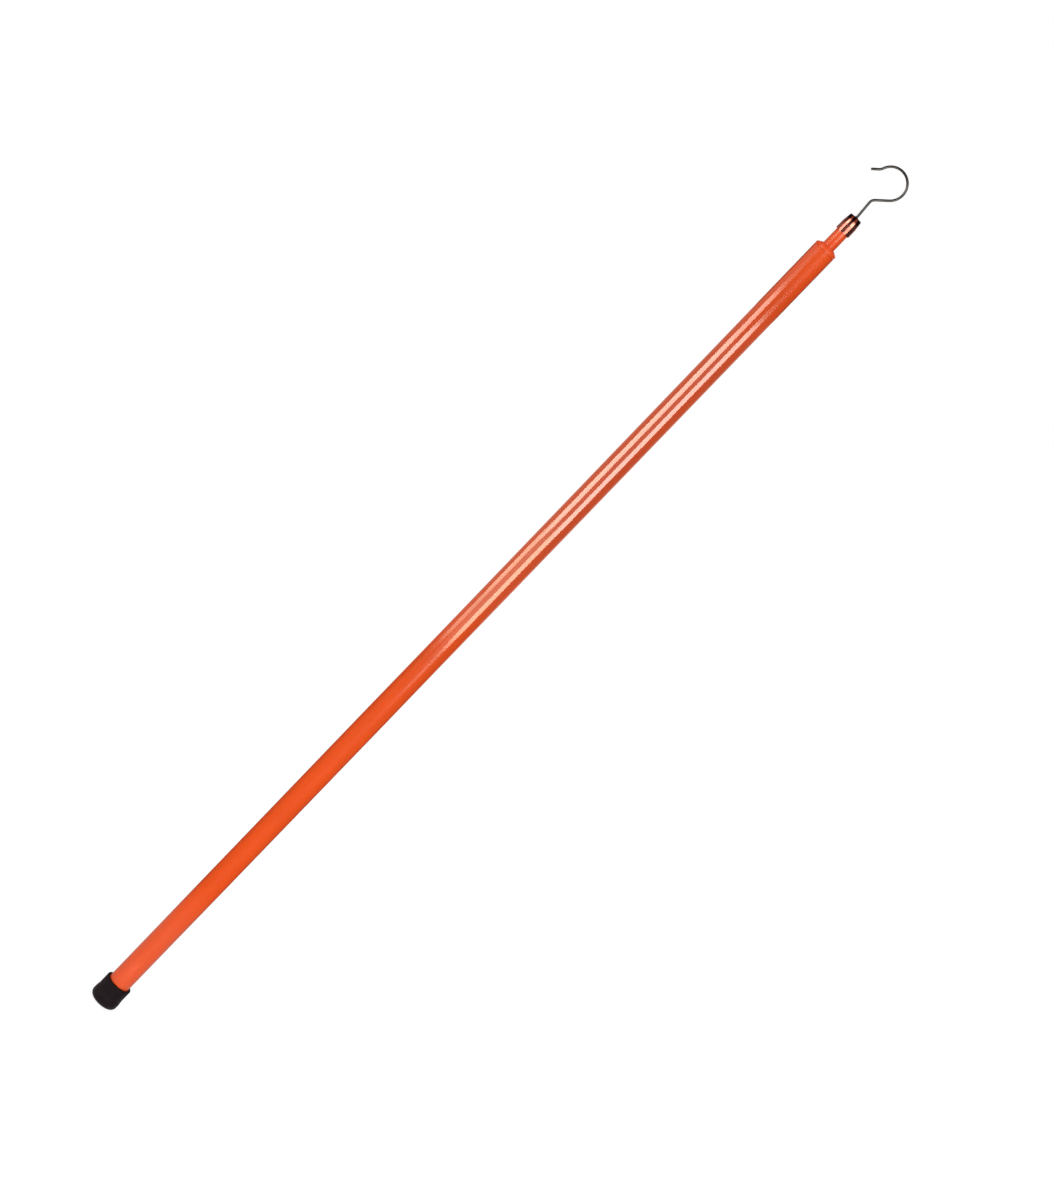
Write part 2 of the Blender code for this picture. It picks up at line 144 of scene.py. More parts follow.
def seat_height():
    """Height of the inside of the hook, where the pole hangs, with the pole closed."""
    mounts = {mount["name"]: mount for mount in frame["record"]["mounts"]}
    return mounts["hook_seat"]["pos_m"][2]


# Sizes and colours that a user would change


def amount(name, default, description, **kind):
    return FloatProperty(name=name, description=description, default=default, min=0.0, **kind)


def length(name, default, description):
    return amount(name, default, description, unit="LENGTH", precision=5)


def angle(name, degrees, description):
    return FloatProperty(name=name, description=description, default=math.radians(degrees), subtype="ANGLE")


def colour(name, default, description):
    return FloatVectorProperty(
        name=name, description=description, default=default, size=3, min=0.0, max=1.0, subtype="COLOR"
    )


class POLE_PG_tubes(bpy.types.PropertyGroup):
    """Tubes, rings and what runs inside them."""

    turn_steps: IntProperty(name="Turn steps", description="Sides of a turned piece", default=96, min=24)
    wall: length("Wall", 0.00125, "Wall of every tube")
    end_edge: length("End edge", 0.0003, "Rounding of a tube's cut ends")
    ring_clearance: length("Ring clearance", 0.0003, "Air between a ring and the tube in it")
    ring_edge: length("Ring edge", 0.0008, "Rounding of a ring's outer edge")
    ring_lead_in: length("Ring lead-in", 0.0004, "Rounding of its bore at the mouth")
    hole_radius: length("Hole radius", 0.0038, "Button holes and lock holes")
    hole_break: length("Hole edge", 0.0004, "Broken edge of a drilled hole")
    seat_gap: length("Seat gap", 0.0003, "Air between pieces that seat on each other")
    fine_edge: length("Fine edge", 0.0002, "Broken edges of turned pieces")
    small_edge: length("Small edge", 0.0003, "Rounding of moulded edges")
    shoe_height: length("Shoe height", 0.0080, "Running shoe of a slider plug")
    pocket_radius: length("Pocket radius", 0.0047, "Pocket of a lock button")
    vent_radius: length("Vent radius", 0.0020, "Air vent along a slider plug")
    recess_radius: length("Recess radius", 0.0050, "Recess in the sole of a slider plug")
    recess_depth: length("Recess depth", 0.0050, "Depth of that recess")
    plug_edge: length("Plug edge", 0.0008, "Rounding of a moulded plug's edges")
    nose_radius: length("Nose radius", 0.0035, "Nose of a lock button")
    dome_radius: length("Dome radius", 0.0060, "Dome on the end of that nose")
    shoulder_thickness: length("Shoulder thickness", 0.0016, "Shoulder that stops the button")
    pip_radius: length("Pip radius", 0.0020, "Pip that centres a button in its spring")
    spring_wire: length("Spring wire", 0.0007, "Wire of a button spring")
    spring_turns: IntProperty(name="Spring turns", description="Turns with the closed ones", default=5, min=3)


class POLE_PG_foot(bpy.types.PropertyGroup):
    """Rubber foot and what closes the base tube above it."""

    floor: length("Floor", 0.0060, "Rubber under the base tube")
    wall: length("Wall", 0.0044, "Wall of the cup")
    bead_height: length("Bead height", 0.0150, "Where the thick base of the cup ends")
    bead_blend: length("Bead blend", 0.0060, "Height over which the base narrows")
    bead_edge: length("Bead edge", 0.0020, "Rounding at both ends of it")
    base_edge: length("Base edge", 0.0075, "Rounding of the base")
    rim_edge: length("Rim edge", 0.0012, "Rounding of the rim")
    pad_radius: length("Pad radius", 0.0100, "Middle pad of the sole")
    groove_width: length("Groove width", 0.0030, "Groove round that pad")
    groove_depth: length("Groove depth", 0.0012, "Depth of the groove")
    plug_wall: length("Plug wall", 0.0040, "Wall of the plug in the base tube")
    bumper_bore: length("Bumper bore", 0.0040, "Hole in the rubber bumper")


class POLE_PG_tip(bpy.types.PropertyGroup):
    """Ferrule, hook and their fixings."""

    ferrule_wall: length("Ferrule wall", 0.0017, "Wall of the ferrule's sleeve")
    ferrule_taper: length("Ferrule taper", 0.0150, "Length of the ferrule's nose")
    ferrule_top_radius: length("Ferrule top", 0.0104, "Radius at the top of the nose")
    ferrule_insert: length("Ferrule insert", 0.0190, "Tip tube inside the ferrule")
    ferrule_edge: length("Ferrule edge", 0.0014, "Rounding at the top of the nose")
    boss_radius: length("Boss radius", 0.0038, "Boss round the hook's shank")
    boss_height: length("Boss height", 0.0008, "Height of that boss")
    hook_radius: length("Hook wire radius", 0.0020, "Half of the hook's wire")
    hook_sides: IntProperty(name="Hook sides", description="Sides of the hook's wire", default=24, min=8)
    neck: length("Neck", 0.0040, "Straight shank above the ferrule")
    lean: angle("Lean", 4.0, "Bend of the shank away from the bowl")
    lean_bend: length("Lean bend", 0.0200, "Radius of that bend")
    shank_run: length("Shank", 0.0234, "Shank above it")
    leg_turn: angle("Leg turn", 53.0, "Bend from the shank to the leg")
    leg_bend: length("Leg bend", 0.0100, "Radius of that bend")
    bowl_radius: length("Bowl radius", 0.0254, "Radius of the hook's bowl")
    bowl_offset: length("Bowl offset", 0.0015, "Bowl's middle beside the pole's axis")
    bowl_sweep: angle("Bowl sweep", 208.0, "How far the bowl goes round")
    tip_turn: angle("Tip turn", 29.0, "Outward bend of the tip")
    tip_bend: length("Tip bend", 0.0140, "Radius of that bend")
    tip_length: length("Tip length", 0.0120, "Straight end of the tip")
    nut_edge: length("Nut edge", 0.0003, "Broken edges of the nut and washer")


class POLE_PG_scale(bpy.types.PropertyGroup):
    """Printed scale on the sliding sections."""

    step: length("Step", 0.010, "Distance between two marks")
    line_width: length("Line width", 0.0007, "Width of a line")
    ink: length("Ink", 0.00004, "Thickness of the ink")
    short_line: length("Short line", 0.0050, "Length of a mark")
    middle_line: length("Middle line", 0.0080, "Length of each fifth mark")
    long_line: length("Long line", 0.0160, "Length of each tenth mark")
    figure_height: length("Figure height", 0.0070, "Height of the numbers")


class POLE_PG_finish(bpy.types.PropertyGroup):
    """Colours of the finishes."""

    orange: colour("Orange", (0.81, 0.082, 0.009), "Gel coat of the tubes")
    rubber: colour("Rubber", (0.0075, 0.0028, 0.0048), "Foot and bumper")
    copper: colour("Copper", (0.80, 0.285, 0.225), "Ferrule")
    steel: colour("Steel", (0.088, 0.091, 0.095), "Hook")
    zinc: colour("Zinc", (0.50, 0.50, 0.51), "Nut, washer and springs")
    brass: colour("Brass", (0.72, 0.53, 0.22), "Lock buttons")
    nylon: colour("Nylon", (0.72, 0.70, 0.64), "Plugs")
    ink: colour("Ink", (0.012, 0.011, 0.011), "Printed scale")


class POLE_PG_studio(bpy.types.PropertyGroup):
    """Camera, lamps, floor and tent."""

    camera_place: FloatVectorProperty(
        name="Camera place", description="Where the camera stands", size=3, subtype="XYZ",
        default=(0.0099, -4.0125, 1.7101),
    )
    camera_yaw: angle("Yaw", 0.4862, "Turn towards +X")
    camera_pitch: angle("Pitch", -10.476, "Tilt above the horizon")
    camera_roll: angle("Roll", 44.051, "Turn about the line of sight")
    lens: FloatProperty(
        name="Lens", description="Focal length in millimetres", default=78.23, subtype="DISTANCE_CAMERA"
    )
    strip_distance: length("Strip distance", 3.0, "From the pole to the strip lights")
    strip_radiance: amount("Strip radiance", 7.9, "Brightness of the strip lights")
    key_radiance: amount("Key radiance", 1.00, "Brightness of the soft key lights")
    sky: amount("Sky", 0.77, "Brightness of the world's light")
    floor_size: length("Floor", 120.0, "Width of the floor")
    floor_glow: amount("Floor glow", 1.33, "Brightness of the floor for the eye")
    floor_share: amount("Floor share", 0.6, "Share of that glow in the floor's looks")
    tent_radius: length("Tent radius", 4.4, "Radius of the tent that the gloss sees")
    tent_opening: length("Tent opening", 0.1, "Hole in its floor and roof")
    tent_height: length("Tent height", 9.0, "Height of that tent")
    head_seam: length("Head seam", 1.360, "Height at which its brown cloth turns dark")
    top_seam: length("Top seam", 1.700, "Height at which its dark cloth turns grey")


# Shapes


def add_object(name, data):
    made = bpy.data.objects.new(name, data)
    bpy.context.scene.collection.objects.link(made)
    return made


def swept(corners, steps, closed):
    """A surface turned about the pole's axis from corners, each a radius and a height."""
    form = bmesh.new()
    verts = [form.verts.new((radius, 0.0, height)) for radius, height in corners]
    for near, far in zip(verts, verts[1:]):
        form.edges.new((near, far))
    if closed:
        form.edges.new((verts[-1], verts[0]))
    profile = form.verts[:] + form.edges[:]
    bmesh.ops.spin(form, geom=profile, cent=ORIGIN, axis=AXIS, angle=FULL_TURN, steps=steps, use_merge=True)
    return form


def turned(outline, steps, edge_segments=4):
    """A closed form turned about the pole's axis from corners, each a radius and a height.

    A third number is how far that corner is rounded. An outline that starts on the axis also ends
    there.
    """
    form = swept([corner[:2] for corner in outline], steps, outline[0][0] > 0.0)
    bmesh.ops.remove_doubles(form, verts=form.verts, dist=MERGE_DISTANCE)
    bmesh.ops.recalc_face_normals(form, faces=form.faces)
    for radius, height, edge in (corner for corner in outline if len(corner) == 3 and corner[2] > 0.0):
        ring = [line for line in form.edges if all(at_corner(vert, radius, height) for vert in line.verts)]
        bmesh.ops.bevel(
            form, geom=ring, offset=edge, segments=edge_segments, profile=0.5, affect="EDGES", material=-1
        )
    return form


def at_corner(vert, radius, height):
    return abs(vert.co.z - height) < MERGE_DISTANCE and abs(vert.co.xy.length - radius) < MERGE_DISTANCE


def hollow(node, bore, edges, steps, edge_segments=4):
    """A hollow cylinder the size of its node.

    Its edges are the roundings at its outer top, outer bottom, inner bottom and inner top.
    """
    outer, bottom, top = cylinder_of(node)
    corners = ((outer, top), (outer, bottom), (bore, bottom), (bore, top))
    return turned([(*corner, edge) for corner, edge in zip(corners, edges)], steps, edge_segments)


def score(form, place, normal):
    """Cut the line of a plane round a form, without parting it."""
    geometry = form.verts[:] + form.edges[:] + form.faces[:]
    bmesh.ops.bisect_plane(form, geom=geometry, dist=MERGE_DISTANCE, plane_co=place, plane_no=normal)


def lay_along_y(form, height):
    """Lay a form made along +Z over to +Y, at its height."""
    bmesh.ops.rotate(form, verts=form.verts, cent=ORIGIN, matrix=Matrix.Rotation(-math.pi / 2, 3, "X"))
    bmesh.ops.translate(form, verts=form.verts, vec=(0.0, 0.0, height))


class Wire:
    """A round wire that is drawn on from its own end, as a wire bender makes it."""

    def __init__(self, start, heading, radius, sides):
        self.form = bmesh.new()
        self.place = Vector(start)
        self.heading = Vector(heading)
        self.radius = radius
        turn = self.heading.to_track_quat("Z", "Y").to_matrix().to_4x4()
        stand = Matrix.Translation(self.place) @ turn
        bmesh.ops.create_circle(self.form, cap_ends=True, segments=sides, radius=radius, matrix=stand)
        self.rim = self.form.edges[:]

    def carry(self, made):
        """Take the far rim of what was just made as the wire's end, and give its corners."""
        verts = [item for item in made if isinstance(item, bmesh.types.BMVert)]
        edges = [item for item in made if isinstance(item, bmesh.types.BMEdge)]
        self.rim = [edge for edge in edges if all(vert in verts for vert in edge.verts)]
        return verts

    def run(self, distance):
        """Carry the wire straight on."""
        verts = self.carry(bmesh.ops.extrude_edge_only(self.form, edges=self.rim)["geom"])
        self.place = self.place + self.heading * distance
        bmesh.ops.translate(self.form, verts=verts, vec=self.heading * distance)
        return verts

    def bend(self, radius, turn, axis, step=math.radians(4.0), rise=0.0):
        """Bend the wire about an axis, to the left of its heading for a positive turn."""
        side = Vector(axis).cross(self.heading).normalized() * (1.0 if turn > 0.0 else -1.0)
        centre = self.place + side * radius
        steps = max(2, math.ceil(abs(turn) / step))
        self.carry(bmesh.ops.spin(
            self.form, geom=self.rim, cent=centre, axis=axis, dvec=Vector(axis) * rise / steps,
            angle=turn, steps=steps,
        )["geom_last"])
        rotation = Matrix.Rotation(turn, 3, axis)
        self.place = centre + rotation @ (self.place - centre) + Vector(axis) * rise
        self.heading = rotation @ self.heading

    def close(self, dome_steps=5):
        """Round the end off, or cut it square with no dome steps."""
        reach = 0.0
        width = 1.0
        for step in range(1, dome_steps + 1):
            slope = WIRE_DOME_SLOPE * step / dome_steps
            verts = self.run(self.radius * (math.sin(slope) - reach))
            factor = math.cos(slope) / width
            bmesh.ops.scale(self.form, vec=(factor,) * 3, space=Matrix.Translation(-self.place), verts=verts)
            reach = math.sin(slope)
            width = math.cos(slope)
        bmesh.ops.contextual_create(self.form, geom=self.rim)
        bmesh.ops.recalc_face_normals(self.form, faces=self.form.faces)
        return self.form


def mesh_from(name, form):
    mesh = bpy.data.meshes.new(name)
    form.to_mesh(mesh)
    form.free()
    return mesh


def settled(thing):
    """An object's mesh after its modifiers, as a form."""
    bpy.context.view_layer.update()
    mesh = bpy.data.meshes.new_from_object(thing.evaluated_get(bpy.context.evaluated_depsgraph_get()))
    form = bmesh.new()
    form.from_mesh(mesh)
    bpy.data.meshes.remove(mesh)
    return form


def carve(form, cutters, operation="DIFFERENCE"):
    """A form with other forms cut out of it."""
    body = add_object("blank", mesh_from("blank", form))
    used = [body]
    for cutter in cutters:
        tool = add_object("cutter", mesh_from("cutter", cutter))
        cut = body.modifiers.new("cut", "BOOLEAN")
        cut.operation = operation
        cut.solver = "EXACT"
        cut.object = tool
        used.append(tool)
    carved = settled(body)
    for thing in used:
        mesh = thing.data
        bpy.data.objects.remove(thing)
        bpy.data.meshes.remove(mesh)
    return carved


def add_piece(name, form, material, body, slot, *nodes):
    """Keep a form as a finished piece that rides on a body and stands for its nodes."""
    mesh = mesh_from(name, form)
    mesh.materials.append(material)
    mesh.shade_smooth()
    mesh.set_sharp_from_angle(angle=SHARP_ANGLE)
    piece = add_object(name, mesh)
    piece.modifiers.new("even_shading", "WEIGHTED_NORMAL").keep_sharp = True
    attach(piece, body)
    if nodes:
        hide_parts(*nodes)
    return piece


# Finishes


class Recipe:
    """The nodes of one material or world, from its patterns to its shader.

    An input is a number, a colour or another node's output.
    """

    def __init__(self, name, kind="materials", shader="Principled BSDF"):
        self.owner = getattr(bpy.data, kind).new(name)
        self.owner.use_nodes = True
        self.tree = self.owner.node_tree
        self.shader = self.tree.nodes[shader]

    def place(self):
        """The place on the piece, in the pole's frame."""
        return self.node("ShaderNodeTexCoord", "Object")

    def node(self, kind, output=0, settings=None, numbered=None, **named):
        """Add a node, fill its inputs by number or by name, and give one of its outputs."""
        made = self.tree.nodes.new(kind)
        made.location = (-240.0 * (len(self.tree.nodes) // 3), 220.0 * (len(self.tree.nodes) % 3))
        for key, value in (settings or {}).items():
            setattr(made, key, value)
        for key, value in (numbered or {}).items():
            self.feed(made.inputs[key], value)
        self.fill(made, named)
        return made.outputs[output]

    def fill(self, node, inputs):
        for key, value in inputs.items():
            self.feed(node.inputs[key.replace("_", " ")], value)

    def feed(self, socket, value):
        if isinstance(value, bpy.types.NodeSocket):
            self.tree.links.new(value, socket)
        elif socket.type == "RGBA":
            socket.default_value = (*value, 1.0)
        else:
            socket.default_value = value

    def noise(self, scale, detail=3.0, roughness=0.5, squeeze=None):
        """Noise over the piece, which can be squeezed by a factor along each axis."""
        place = self.place()
        if squeeze:
            place = self.node("ShaderNodeMapping", Vector=place, Scale=squeeze)
        return self.node("ShaderNodeTexNoise", Vector=place, Scale=scale, Detail=detail, Roughness=roughness)

    def span(self, value, low, high, to_low=0.0, to_high=1.0):
        """A value between two bounds, brought to two others."""
        return self.node(
            "ShaderNodeMapRange", Value=value, From_Min=low, From_Max=high, To_Min=to_low, To_Max=to_high
        )

    def sum(self, operation, first, second):
        """A sum, or another operation, on two values."""
        return self.node("ShaderNodeMath", 0, {"operation": operation}, {0: first, 1: second})

    def blend(self, factor, first, second):
        """Mix two colours."""
        return self.node("ShaderNodeMix", 2, {"data_type": "RGBA"}, {0: factor, 6: first, 7: second})

    def patches(self, pattern, low, high, share, ground, patch):
        """One colour, with a share of another where a pattern is high."""
        return self.blend(self.span(pattern, low, high, 0.0, share), ground, patch)

    def along(self, axis):
        """One coordinate of that place. Z is the height above the sole."""
        return self.node("ShaderNodeSeparateXYZ", axis, Vector=self.place())

    def to_the_eye(self):
        """1 for rays that show the surroundings themselves, and 0 for the light they shed."""
        camera, mirrored, refracted = (
            self.node("ShaderNodeLightPath", f"Is {ray} Ray") for ray in ("Camera", "Glossy", "Transmission")
        )
        return self.sum("MAXIMUM", self.sum("MAXIMUM", camera, mirrored), refracted)

    def bump(self, height, depth, strength, **below):
        return self.node("ShaderNodeBump", Height=height, Distance=depth, Strength=strength, **below)

    def finish(self, **inputs):
        self.fill(self.shader, inputs)
        return self.owner


def shade(rgb, factor):
    return [min(1.0, part * factor) for part in rgb]


def glass_fibre(name, rgb, coat=1.0, coat_roughness=0.08):
    """Drawn glass fibre under a clear gel coat: long fibres, clouded resin, light scuffs."""
    recipe = Recipe(name)
    fibres = recipe.noise(2200.0, 2.0, 0.6, (1.0, 1.0, 0.008))
    clouds = recipe.noise(42.0, 4.0, 0.55, (1.0, 1.0, 0.22))
    scuffs = recipe.noise(620.0, 6.0, 0.7, (1.0, 1.0, 0.06))
    peel = recipe.noise(520.0, 2.0)
    resin = recipe.patches(clouds, 0.30, 0.70, 1.0, shade(rgb, 0.94), shade(rgb, 1.04))
    drawn = recipe.patches(fibres, 0.55, 0.80, 0.22, resin, (0.90, 0.13, 0.025))
    worn = recipe.patches(scuffs, 0.66, 0.80, 0.30, drawn, (0.64, 0.065, 0.010))
    weave = recipe.bump(fibres, 0.000004, 0.5)
    return recipe.finish(
        Base_Color=worn,
        Roughness=recipe.span(scuffs, 0.35, 0.75, 0.24, 0.30),
        Specular_IOR_Level=0.10,
        Normal=recipe.bump(peel, 0.000006, 0.5, Normal=weave),
        Coat_Weight=coat,
        Coat_Roughness=coat_roughness,
        Coat_IOR=1.7,
    )


def black_rubber(name, rgb):
    """Moulded rubber: fine grain, a dull bloom, and dust where it meets the ground."""
    recipe = Recipe(name)
    grain = recipe.noise(1500.0, 3.0, 0.6)
    bloom = recipe.noise(70.0, 5.0, 0.6)
    near_ground = recipe.span(recipe.along("Z"), 0.0, 0.012, 1.0, 0.0)
    dust = recipe.sum("MULTIPLY", near_ground, recipe.span(bloom, 0.40, 0.75))
    aged = recipe.patches(bloom, 0.35, 0.80, 0.5, rgb, shade(rgb, 1.9))
    dusty = recipe.blend(recipe.sum("MULTIPLY", dust, 0.35), aged, (0.075, 0.066, 0.058))
    return recipe.finish(
        Base_Color=dusty,
        Roughness=recipe.span(bloom, 0.30, 0.80, 0.48, 0.72),
        Normal=recipe.bump(grain, 0.00006, 0.5),
        Specular_IOR_Level=0.10,
    )


def turned_copper(name, rgb):
    """Polished copper alloy with the lathe's rings, a little tarnish, and painted shade that darkens the top
    of its nose.
    """
    recipe = Recipe(name)
    rings = recipe.noise(5200.0, 2.0, 0.7, (0.02, 0.02, 1.0))
    stain = recipe.noise(130.0, 5.0, 0.65)
    tarnish = recipe.patches(stain, 0.50, 0.80, 0.40, rgb, (0.42, 0.10, 0.05))
    # Painted shade: the top of the nose goes dark brown, in place of the dark surroundings it mirrors.
    nose_shade_height = recipe.sum("ADD", recipe.along("Z"), recipe.span(stain, 0.30, 0.70, -0.0006, 0.0006))
    start, end = (top_of("tip_ferrule") - below for below in NOSE_SHADE_DEPTHS)
    painted_nose_shade = recipe.patches(nose_shade_height, start, end, 1.0, tarnish, (0.060, 0.013, 0.009))
    return recipe.finish(
        Base_Color=painted_nose_shade,
        Metallic=1.0,
        Roughness=recipe.span(stain, 0.30, 0.75, 0.09, 0.17),
        Normal=recipe.bump(rings, 0.000002, 0.35),
    )


def patchy(name, pattern, bounds, colours, gloss, marks, depth, **settings):
    """A finish whose colour and gloss change where a pattern is high, with fine marks all over."""
    recipe = Recipe(name)
    patch = recipe.noise(*pattern)
    return recipe.finish(
        Base_Color=recipe.patches(patch, *bounds, *colours),
        Roughness=recipe.span(patch, *gloss),
        Normal=recipe.bump(recipe.noise(*marks), depth, 0.4),
        **settings,
    )


def polished_steel(name, rgb):
    """Bent steel wire, polished, with darker scale left in places and fine drawing marks."""
    return patchy(
        name, pattern=(60.0, 4.0, 0.6), bounds=(0.40, 0.66, 0.6), colours=(rgb, shade(rgb, 0.55)),
        gloss=(0.30, 0.70, 0.20, 0.32), marks=(2600.0, 3.0, 0.7), depth=0.000002, Metallic=1.0,
    )


def plated_steel(name, rgb):
    """Zinc-plated steel: a fine crystal mottle."""
    crystals = (900.0, 4.0, 0.7)
    return patchy(
        name, pattern=crystals, bounds=(0.35, 0.70, 1.0), colours=(shade(rgb, 0.82), shade(rgb, 1.12)),
        gloss=(0.30, 0.75, 0.22, 0.38), marks=crystals, depth=0.000015, Metallic=1.0,
    )


def turned_brass(name, rgb):
    """Brass turned about +Y, bright on its nose and brown where it isn't rubbed."""
    return patchy(
        name, pattern=(420.0, 4.0, 0.6), bounds=(0.45, 0.75, 0.6), colours=(rgb, shade(rgb, 0.5)),
        gloss=(0.30, 0.75, 0.20, 0.38), marks=(5200.0, 2.0, 0.7, (0.02, 1.0, 0.02)), depth=0.000015,
        Metallic=1.0,
    )


def moulded_nylon(name, rgb):
    """Moulded nylon: milky, with a fine sparked texture and grey rub marks."""
    rub = (380.0, 5.0, 0.7, (1.0, 1.0, 0.1))
    return patchy(
        name, pattern=rub, bounds=(0.58, 0.80, 0.5), colours=(rgb, shade(rgb, 0.6)),
        gloss=(0.30, 0.80, 0.38, 0.58), marks=(2400.0, 2.0, 0.6), depth=0.00002,
        Subsurface_Weight=0.15, Subsurface_Radius=(0.0015, 0.0012, 0.0010),
    )


def printing_ink(name, rgb):
    """Screen-printed ink that the rings have rubbed a little."""
    rub = (700.0, 5.0, 0.7, (1.0, 1.0, 0.05))
    return patchy(
        name, pattern=rub, bounds=(0.62, 0.80, 0.5), colours=(rgb, (0.10, 0.035, 0.02)),
        gloss=(0.30, 0.80, 0.35, 0.60), marks=rub, depth=0.00001,
    )


# Tubes and mouth rings


def drill(near, far, radius, height, broken_edge, skin):
    """A drill along +Y that also breaks the hole's edge where it leaves the skin."""
    flare = far - skin + broken_edge
    outline = [
        (0.0, far),
        (radius + flare, far),
        (radius, skin - broken_edge),
        (radius, near),
        (0.0, near),
    ]
    form = turned(outline, DRILL_STEPS)
    lay_along_y(form, height)
    return form


def add_tube(index, sizes, material):
    """A drawn tube with its button hole, its lock hole, or both."""
    name = section_name(index)
    node = name + "_tube"
    outer = radius_of(node)
    bore = outer - sizes.wall
    form = hollow(node, bore, (sizes.end_edge,) * 4, sizes.turn_steps, 3)
    holes = []
    if index > 0:
        holes.append(button_height(index))
    if index < SECTION_COUNT - 1:
        holes.append(lock_hole_height(index))
    margin = 2 * sizes.hole_radius
    for height in holes:
        for side in (-1.0, 1.0):
            score(form, (0.0, 0.0, height + side * margin), AXIS)
    far = outer + sizes.wall
    drills = [drill(bore / 2, far, sizes.hole_radius, height, sizes.hole_break, outer) for height in holes]
    add_piece(name + "_drawn_tube", carve(form, drills), material, name, "orange_glass_fibre", node)


def add_mouth_ring(index, sizes, material):
    """The ring on a tube's mouth that guides the tube inside."""
    name = section_name(index)
    node = name + "_mouth_ring"
    inner = radius_of(section_name(index + 1) + "_tube") + sizes.ring_clearance
    edges = (sizes.ring_edge, sizes.fine_edge / 2, sizes.ring_lead_in / 2, sizes.ring_lead_in)
    form = hollow(node, inner, edges, sizes.turn_steps)
    add_piece(name + "_guide_ring", form, material, name, "orange_ring", node)


class POLE_OT_dress_tubes(bpy.types.Operator):
    """Draw the five glass-fibre tubes and drill their button and lock holes"""

    bl_idname = "pole.dress_tubes"
    bl_label = "Tubes"

    def execute(self, context):
        sizes = context.scene.pole_tubes
        material = glass_fibre("orange_glass_fibre", context.scene.pole_finish.orange)
        for index in range(SECTION_COUNT):
            add_tube(index, sizes, material)
        return {"FINISHED"}


class POLE_OT_dress_mouth_rings(bpy.types.Operator):
    """Turn the rings on the tubes' mouths, which guide the tube inside"""

    bl_idname = "pole.dress_mouth_rings"
    bl_label = "Mouth rings"

    def execute(self, context):
        orange = context.scene.pole_finish.orange
        material = glass_fibre("orange_ring", orange, coat=0.2, coat_roughness=0.25)
        for index in range(SECTION_COUNT - 1):
            add_mouth_ring(index, context.scene.pole_tubes, material)
        return {"FINISHED"}


# Slider plugs and lock buttons


def add_slider_plug(index, sizes, material):
    """A shoe that runs in the bore outside, with a spigot that fills its own tube."""
    name = section_name(index)
    node = name + "_slider_plug"
    shoe, bottom, top = cylinder_of(node)
    spigot = radius_of(name + "_tube") - sizes.wall - sizes.seat_gap
    edge = sizes.plug_edge
    outline = [
        (spigot, top, edge),
        (spigot, bottom + sizes.shoe_height),
        (shoe, bottom + sizes.shoe_height, edge / 4),
        (shoe, bottom, edge),
        (sizes.recess_radius, bottom, edge / 4),
        (sizes.recess_radius, bottom + sizes.recess_depth),
        (sizes.vent_radius, bottom + sizes.recess_depth),
        (sizes.vent_radius, top, edge / 4),
    ]
    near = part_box(name + "_button_spring")[0][1] - sizes.seat_gap
    far = spigot + sizes.wall
    pocket = drill(near, far, sizes.pocket_radius, button_height(index), sizes.fine_edge, spigot)
    form = carve(turned(outline, sizes.turn_steps), [pocket])
    add_piece(name + "_running_plug", form, material, name, "plug_nylon", node)


def add_lock_button(index, sizes, material):
    """A button turned about +Y: domed nose, shoulder, and a pip inside the spring."""
    name = section_name(index)
    node = name + "_lock_button"
    low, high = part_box(node)
    shoulder = (high[0] - low[0]) / 2
    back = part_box(name + "_button_spring")[1][1] + sizes.seat_gap
    face = back + sizes.shoulder_thickness
    dome = sizes.dome_radius
    centre = high[1] - dome
    dome_end = math.asin(sizes.nose_radius / dome)
    slopes = [dome_end * step / DOME_STEPS for step in range(DOME_STEPS + 1)]
    outline = [
        *((dome * math.sin(slope), centre + dome * math.cos(slope)) for slope in slopes),
        (sizes.nose_radius, face),
        (shoulder, face, sizes.fine_edge),
        (shoulder, back, sizes.fine_edge),
        (sizes.pip_radius, back),
        (sizes.pip_radius, low[1], sizes.small_edge),
        (0.0, low[1]),
    ]
    form = turned(outline, SMALL_TURN_STEPS)
    lay_along_y(form, button_height(index))
    add_piece(name + "_snap_button", form, material, f"button_{index + 1}", "button_brass", node)


def add_button_spring(index, sizes, material):
    """A compression spring with a closed turn at each end."""
    name = section_name(index)
    node = name + "_button_spring"
    low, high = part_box(node)
    thick = sizes.spring_wire
    radius = (high[0] - low[0] - thick) / 2
    rise = high[1] - low[1] - thick
    closed = CLOSED_TURN * thick
    open_turns = sizes.spring_turns - 2
    wire = Wire((radius, 0.0, low[1] + thick / 2), (0.0, 1.0, 0.0), thick / 2, SPRING_SIDES)
    for turns, climb in ((1, closed), (open_turns, rise - 2 * closed), (1, closed)):
        wire.bend(radius, FULL_TURN * turns, AXIS, SPRING_STEP, climb)
    form = wire.close(0)
    lay_along_y(form, button_height(index))
    spring = add_piece(name + "_coil_spring", form, material, name, "spring_steel", node)
    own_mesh(spring)


class POLE_OT_dress_locks(bpy.types.Operator):
    """Make each section's slider plug, lock button and button spring"""

    bl_idname = "pole.dress_locks"
    bl_label = "Slider plugs and locks"

    def execute(self, context):
        sizes = context.scene.pole_tubes
        finish = context.scene.pole_finish
        nylon = moulded_nylon("plug_nylon", finish.nylon)
        brass = turned_brass("button_brass", finish.brass)
        steel = plated_steel("spring_steel", finish.zinc)
        for index in range(1, SECTION_COUNT):
            add_slider_plug(index, sizes, nylon)
            add_lock_button(index, sizes, brass)
            add_button_spring(index, sizes, steel)
        return {"FINISHED"}


# Foot


